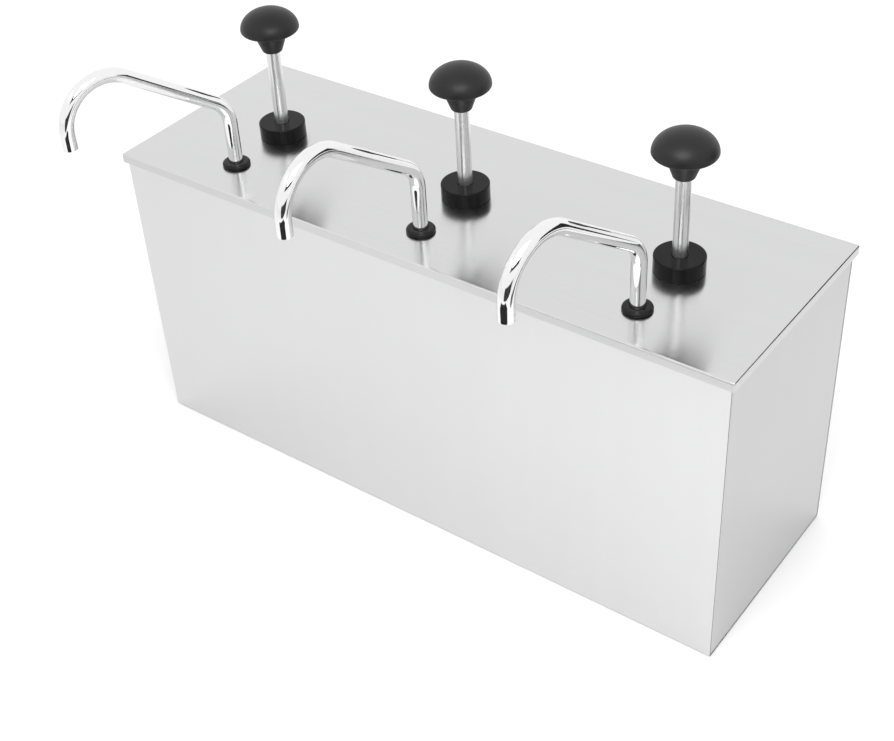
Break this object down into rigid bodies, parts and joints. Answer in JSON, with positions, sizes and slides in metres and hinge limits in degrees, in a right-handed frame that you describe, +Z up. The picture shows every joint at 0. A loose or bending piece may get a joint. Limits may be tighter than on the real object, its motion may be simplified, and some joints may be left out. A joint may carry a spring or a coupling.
{
  "type": "condiment pump dispenser",
  "caption": "Countertop stainless box with a lift-off lid and a row of hand pumps: mushroom knobs pressed down on sprung rods and bent tubes that swivel over the front edge.",
  "frame": {"origin": "centre of the cabinet's flat base, on the counter", "axes": "+X along the row of pumps, -Y towards the front where the spouts point, +Z up"},
  "size_m": [0.59, 0.3082, 0.4058],
  "materials": {
    "brushed_sheet": "fine brushed stainless sheet, soft smeared reflections",
    "container_steel": "satin pressed stainless",
    "turned_steel": "fine turned stainless",
    "polished_steel": "mirror polished stainless",
    "spring_steel": "drawn spring wire",
    "knob_plastic": "matte black moulded plastic with a fine grain",
    "collar_gloss": "gloss black moulded plastic",
    "grommet_rubber": "satin black rubber",
    "seal_rubber": "dark nitrile rubber",
    "bearing_plastic": "natural white acetal"
  },
  "bodies": {
    "housing": {"body_wrap": "brushed_sheet", "end_panel_left": "brushed_sheet", "end_panel_right": "brushed_sheet", "container_left": "container_steel", "container_mid": "container_steel", "container_right": "container_steel"},
    "lid": {"lid_sheet": "brushed_sheet", "collar_left": "collar_gloss", "lid_gasket_left": "seal_rubber", "pump_cylinder_left": "turned_steel", "rod_guide_left": "bearing_plastic", "valve_block_left": "bearing_plastic", "suction_tube_left": "turned_steel", "tube_grommet_left": "grommet_rubber", "swivel_oring_left": "seal_rubber", "return_spring_left": "spring_steel", "collar_mid": "collar_gloss", "lid_gasket_mid": "seal_rubber", "pump_cylinder_mid": "turned_steel", "rod_guide_mid": "bearing_plastic", "valve_block_mid": "bearing_plastic", "suction_tube_mid": "turned_steel", "tube_grommet_mid": "grommet_rubber", "swivel_oring_mid": "seal_rubber", "return_spring_mid": "spring_steel", "collar_right": "collar_gloss", "lid_gasket_right": "seal_rubber", "pump_cylinder_right": "turned_steel", "rod_guide_right": "bearing_plastic", "valve_block_right": "bearing_plastic", "suction_tube_right": "turned_steel", "tube_grommet_right": "grommet_rubber", "swivel_oring_right": "seal_rubber", "return_spring_right": "spring_steel"},
    "plunger_left": {"knob_left": "knob_plastic", "plunger_rod_left": "polished_steel", "piston_left": "bearing_plastic", "piston_seal_left": "seal_rubber", "piston_nut_left": "turned_steel"},
    "spout_left": {"spout_tube_left": "polished_steel"},
    "inlet_valve_left": {"inlet_ball_left": "polished_steel"},
    "outlet_valve_left": {"outlet_ball_left": "polished_steel"},
    "plunger_mid": {"knob_mid": "knob_plastic", "plunger_rod_mid": "polished_steel", "piston_mid": "bearing_plastic", "piston_seal_mid": "seal_rubber", "piston_nut_mid": "turned_steel"},
    "spout_mid": {"spout_tube_mid": "polished_steel"},
    "inlet_valve_mid": {"inlet_ball_mid": "polished_steel"},
    "outlet_valve_mid": {"outlet_ball_mid": "polished_steel"},
    "plunger_right": {"knob_right": "knob_plastic", "plunger_rod_right": "polished_steel", "piston_right": "bearing_plastic", "piston_seal_right": "seal_rubber", "piston_nut_right": "turned_steel"},
    "spout_right": {"spout_tube_right": "polished_steel"},
    "inlet_valve_right": {"inlet_ball_right": "polished_steel"},
    "outlet_valve_right": {"outlet_ball_right": "polished_steel"}
  },
  "joints": [
    {"name": "lid_lift", "type": "slide", "parent": "housing", "child": "lid", "axis": [0, 0, 1], "range_m": [0, 0.3]},
    {"name": "plunger_press_left", "type": "slide", "parent": "lid", "child": "plunger_left", "axis": [0, 0, 1], "range_m": [-0.055, 0], "stiffness_N_per_m": 270, "springref_m": 0.037, "deforming": ["return_spring_left"]},
    {"name": "spout_swivel_left", "type": "hinge", "parent": "lid", "child": "spout_left", "pos_m": [-0.196, -0.0605, 0.3], "axis": [0, 0, 1], "range_deg": [-20, 50]},
    {"name": "inlet_lift_left", "type": "slide", "parent": "lid", "child": "inlet_valve_left", "axis": [0, 0, 1], "range_m": [0, 0.003]},
    {"name": "outlet_lift_left", "type": "slide", "parent": "lid", "child": "outlet_valve_left", "axis": [0, 0, 1], "range_m": [0, 0.003]},
    {"name": "plunger_press_mid", "type": "slide", "parent": "lid", "child": "plunger_mid", "axis": [0, 0, 1], "range_m": [-0.055, 0], "stiffness_N_per_m": 270, "springref_m": 0.037, "deforming": ["return_spring_mid"]},
    {"name": "spout_swivel_mid", "type": "hinge", "parent": "lid", "child": "spout_mid", "pos_m": [0, -0.0605, 0.3], "axis": [0, 0, 1], "range_deg": [-32, 38]},
    {"name": "inlet_lift_mid", "type": "slide", "parent": "lid", "child": "inlet_valve_mid", "axis": [0, 0, 1], "range_m": [0, 0.003]},
    {"name": "outlet_lift_mid", "type": "slide", "parent": "lid", "child": "outlet_valve_mid", "axis": [0, 0, 1], "range_m": [0, 0.003]},
    {"name": "plunger_press_right", "type": "slide", "parent": "lid", "child": "plunger_right", "axis": [0, 0, 1], "range_m": [-0.055, 0], "stiffness_N_per_m": 270, "springref_m": 0.037, "deforming": ["return_spring_right"]},
    {"name": "spout_swivel_right", "type": "hinge", "parent": "lid", "child": "spout_right", "pos_m": [0.196, -0.0605, 0.3], "axis": [0, 0, 1], "range_deg": [-29, 41]},
    {"name": "inlet_lift_right", "type": "slide", "parent": "lid", "child": "inlet_valve_right", "axis": [0, 0, 1], "range_m": [0, 0.003]},
    {"name": "outlet_lift_right", "type": "slide", "parent": "lid", "child": "outlet_valve_right", "axis": [0, 0, 1], "range_m": [0, 0.003]}
  ]
}
